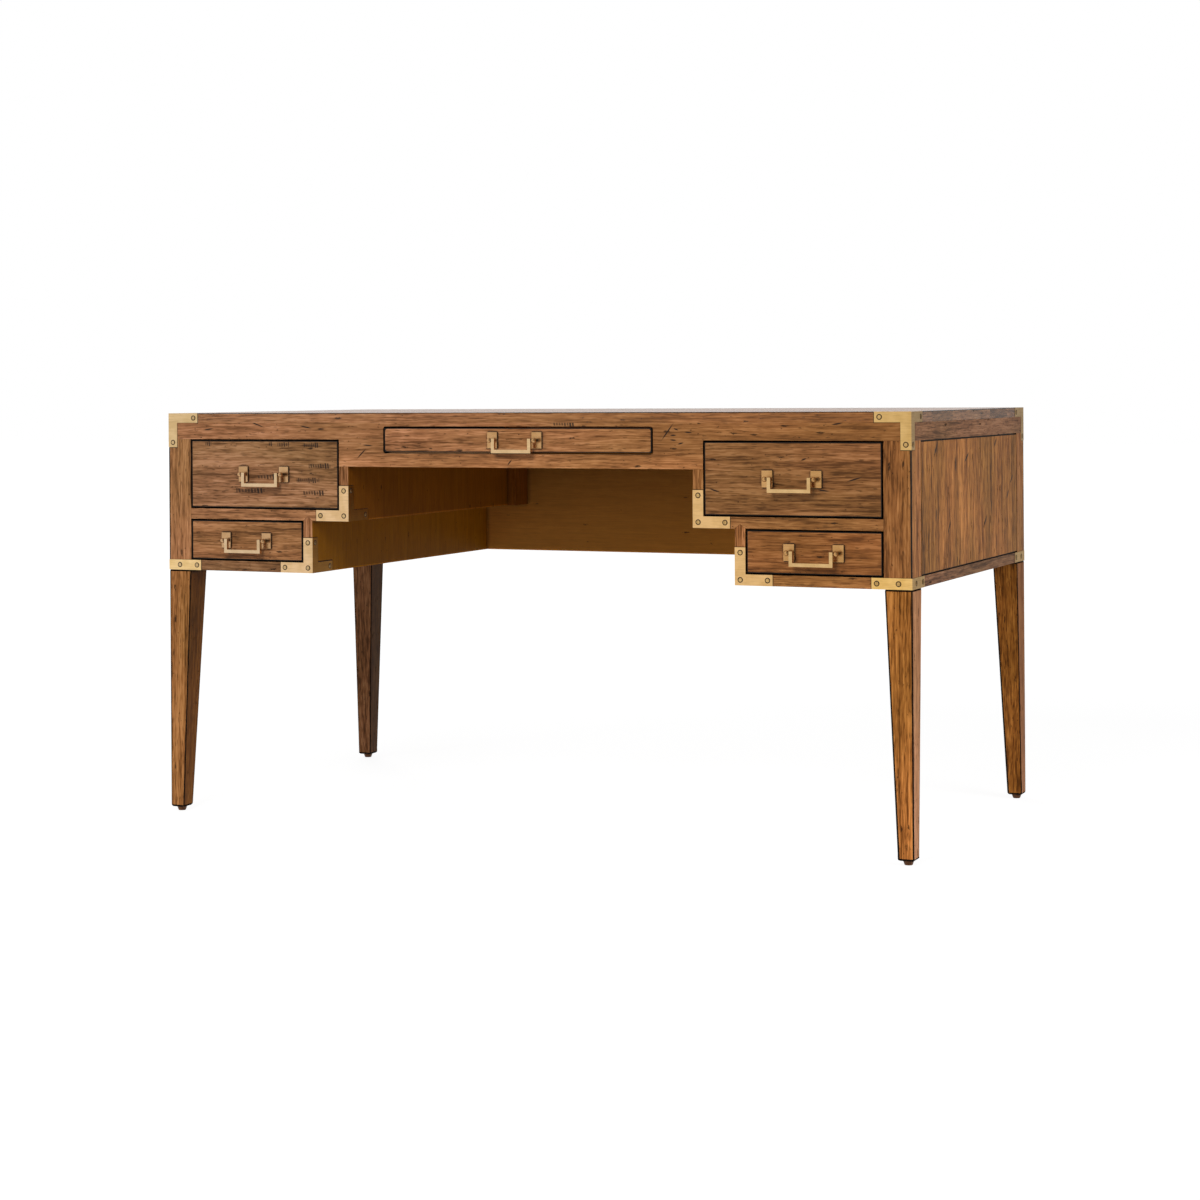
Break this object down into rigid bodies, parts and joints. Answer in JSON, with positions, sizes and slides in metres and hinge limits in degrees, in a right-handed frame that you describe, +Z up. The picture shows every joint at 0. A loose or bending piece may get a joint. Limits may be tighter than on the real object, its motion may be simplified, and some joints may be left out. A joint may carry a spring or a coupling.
{
  "type": "campaign desk",
  "caption": "Pedestal writing desk in distressed wood: stepped drawer pedestals beside a knee space, a flat centre drawer, tapered legs, brass corner brackets and swinging bail pulls.",
  "frame": {"origin": "middle of the whole part's footprint, pulls included, on the floor", "axes": "+X to the right of someone facing the desk, +Y towards its back, +Z up; drawers open along -Y"},
  "size_m": [1.5264, 0.8008, 0.787],
  "materials": {
    "desk_wood": "satin lacquer over distressed, stained wood",
    "drawer_wood": "clear-sealed plain wood",
    "bracket_brass": "brushed satin brass",
    "pull_brass": "satin brass",
    "screw_brass": "aged brass",
    "steel": "zinc plated",
    "glide_plastic": "dark brown, matt"
  },
  "bodies": {
    "desk": {"desktop": "desk_wood", "front_apron": "desk_wood", "back_apron": "desk_wood", "back_panel": "desk_wood", "corner_posts": "desk_wood", "leg_bolts": "steel", "foot_glides": "glide_plastic", "drawer_runners": "drawer_wood", "centre_bearers": "drawer_wood", "rear_corner_blocks": "desk_wood", "right_apron": "desk_wood", "left_apron": "desk_wood", "right_side_panel": "desk_wood", "left_side_panel": "desk_wood", "right_base": "desk_wood", "left_base": "desk_wood", "right_upper_knee_panel": "desk_wood", "left_upper_knee_panel": "desk_wood", "right_lower_knee_panel": "desk_wood", "left_lower_knee_panel": "desk_wood", "right_step_shelf": "desk_wood", "left_step_shelf": "desk_wood", "right_front_leg": "desk_wood", "left_front_leg": "desk_wood", "right_back_leg": "desk_wood", "left_back_leg": "desk_wood", "top_corner_brackets": "bracket_brass", "base_straps": "bracket_brass", "step_brackets": "bracket_brass", "bracket_screws": "screw_brass"},
    "left_upper_drawer": {"left_upper_drawer_front": "desk_wood", "left_upper_drawer_sides": "drawer_wood", "left_upper_drawer_back": "drawer_wood", "left_upper_drawer_bottom": "drawer_wood", "left_upper_pull_mounts": "pull_brass"},
    "left_upper_bail": {"left_upper_pull_bail": "pull_brass"},
    "left_lower_drawer": {"left_lower_drawer_front": "desk_wood", "left_lower_drawer_sides": "drawer_wood", "left_lower_drawer_back": "drawer_wood", "left_lower_drawer_bottom": "drawer_wood", "left_lower_pull_mounts": "pull_brass"},
    "left_lower_bail": {"left_lower_pull_bail": "pull_brass"},
    "right_upper_drawer": {"right_upper_drawer_front": "desk_wood", "right_upper_drawer_sides": "drawer_wood", "right_upper_drawer_back": "drawer_wood", "right_upper_drawer_bottom": "drawer_wood", "right_upper_pull_mounts": "pull_brass"},
    "right_upper_bail": {"right_upper_pull_bail": "pull_brass"},
    "right_lower_drawer": {"right_lower_drawer_front": "desk_wood", "right_lower_drawer_sides": "drawer_wood", "right_lower_drawer_back": "drawer_wood", "right_lower_drawer_bottom": "drawer_wood", "right_lower_pull_mounts": "pull_brass"},
    "right_lower_bail": {"right_lower_pull_bail": "pull_brass"},
    "centre_drawer": {"centre_drawer_front": "desk_wood", "centre_drawer_sides": "drawer_wood", "centre_drawer_back": "drawer_wood", "centre_drawer_bottom": "drawer_wood", "centre_pull_mounts": "pull_brass"},
    "centre_bail": {"centre_pull_bail": "pull_brass"}
  },
  "joints": [
    {"name": "left_upper_drawer_slide", "type": "slide", "parent": "desk", "child": "left_upper_drawer", "axis": [0, -1, 0], "range_m": [0, 0.4]},
    {"name": "left_upper_bail_swing", "type": "hinge", "parent": "left_upper_drawer", "child": "left_upper_bail", "pos_m": [-0.543, -0.39575, 0.668], "axis": [-1, 0, 0], "range_deg": [-25, 120]},
    {"name": "left_lower_drawer_slide", "type": "slide", "parent": "desk", "child": "left_lower_drawer", "axis": [0, -1, 0], "range_m": [0, 0.4]},
    {"name": "left_lower_bail_swing", "type": "hinge", "parent": "left_lower_drawer", "child": "left_lower_bail", "pos_m": [-0.583, -0.39575, 0.5385], "axis": [-1, 0, 0], "range_deg": [-25, 120]},
    {"name": "right_upper_drawer_slide", "type": "slide", "parent": "desk", "child": "right_upper_drawer", "axis": [0, -1, 0], "range_m": [0, 0.4]},
    {"name": "right_upper_bail_swing", "type": "hinge", "parent": "right_upper_drawer", "child": "right_upper_bail", "pos_m": [0.543, -0.39575, 0.668], "axis": [-1, 0, 0], "range_deg": [-25, 120]},
    {"name": "right_lower_drawer_slide", "type": "slide", "parent": "desk", "child": "right_lower_drawer", "axis": [0, -1, 0], "range_m": [0, 0.4]},
    {"name": "right_lower_bail_swing", "type": "hinge", "parent": "right_lower_drawer", "child": "right_lower_bail", "pos_m": [0.583, -0.39575, 0.5385], "axis": [-1, 0, 0], "range_deg": [-25, 120]},
    {"name": "centre_drawer_slide", "type": "slide", "parent": "desk", "child": "centre_drawer", "axis": [0, -1, 0], "range_m": [0, 0.32]},
    {"name": "centre_bail_swing", "type": "hinge", "parent": "centre_drawer", "child": "centre_bail", "pos_m": [0, -0.39575, 0.7355], "axis": [-1, 0, 0], "range_deg": [-25, 120]}
  ]
}
